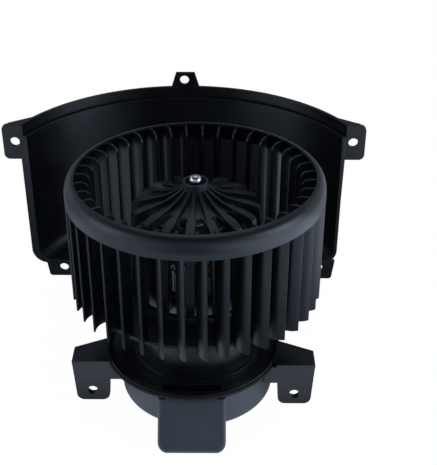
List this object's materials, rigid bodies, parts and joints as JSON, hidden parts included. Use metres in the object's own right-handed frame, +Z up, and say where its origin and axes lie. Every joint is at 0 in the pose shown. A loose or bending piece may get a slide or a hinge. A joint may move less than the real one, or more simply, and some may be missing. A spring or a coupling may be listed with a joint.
{
  "type": "cabin blower motor",
  "caption": "Car cabin blower: squirrel cage fan wheel on an electric motor, in a base moulding with a curved scroll wall behind, screw tabs and a cooling duct.",
  "frame": {"origin": "on the fan axis, in the plane that the motor cover, the duct and the feet stand on", "axes": "+Z up along the fan axis, +Y from the duct towards the scroll wall, +X to the right seen from the duct side"},
  "size_m": [0.2586, 0.252, 0.1604],
  "materials": {
    "black_moulding": "satin moulded black plastic with a fine grain",
    "wheel_moulding": "smooth semi-gloss black plastic",
    "zinc_screw": "zinc plated steel",
    "spring_steel": "blue-grey spring steel",
    "ground_steel": "bright ground steel",
    "zinc_steel": "zinc plated drawn steel",
    "bronze": "oil-filled sintered bronze",
    "pale_plastic": "natural polymer washer",
    "sheet_steel": "stacked electrical sheet with grey lacquer",
    "copper_wire": "enamelled copper wire",
    "copper": "bare copper",
    "card_plastic": "dark glass-filled plastic",
    "capacitor_case": "grey-blue moulded case",
    "ferrite": "sintered ferrite",
    "brass": "pressed brass",
    "carbon": "pressed carbon",
    "rubber": "black rubber"
  },
  "bodies": {
    "frame": {"brush_card": "card_plastic", "brush_holder_left": "brass", "brush_holder_right": "brass", "brush_left": "carbon", "brush_right": "carbon", "brush_spring_left": "spring_steel", "brush_spring_right": "spring_steel", "busbar_left": "copper", "busbar_right": "copper", "capacitor": "capacitor_case", "choke_front": "copper_wire", "choke_rear": "copper_wire", "connector_socket": "card_plastic", "cover_screws": "zinc_screw", "end_bracket": "zinc_steel", "housing": "black_moulding", "lower_bearing": "bronze", "lower_bearing_retainer": "zinc_steel", "magnet_left": "ferrite", "magnet_right": "ferrite", "magnet_spring_front": "spring_steel", "magnet_spring_rear": "spring_steel", "motor_can": "zinc_steel", "motor_cover": "black_moulding", "rim_seal": "rubber", "rubber_ring_lower": "rubber", "rubber_ring_upper": "rubber", "upper_bearing": "bronze", "upper_bearing_retainer": "zinc_steel"},
    "rotor": {"armature_core": "sheet_steel", "armature_windings": "copper_wire", "commutator": "copper", "fan_wheel": "wheel_moulding", "hub_clip": "spring_steel", "lower_thrust_washer": "pale_plastic", "motor_shaft": "ground_steel", "upper_thrust_washer": "pale_plastic"}
  },
  "joints": [
    {"name": "wheel_spin", "type": "hinge", "parent": "frame", "child": "rotor", "pos_m": [0, 0, 0.1], "axis": [0, 0, 1], "continuous": true}
  ]
}
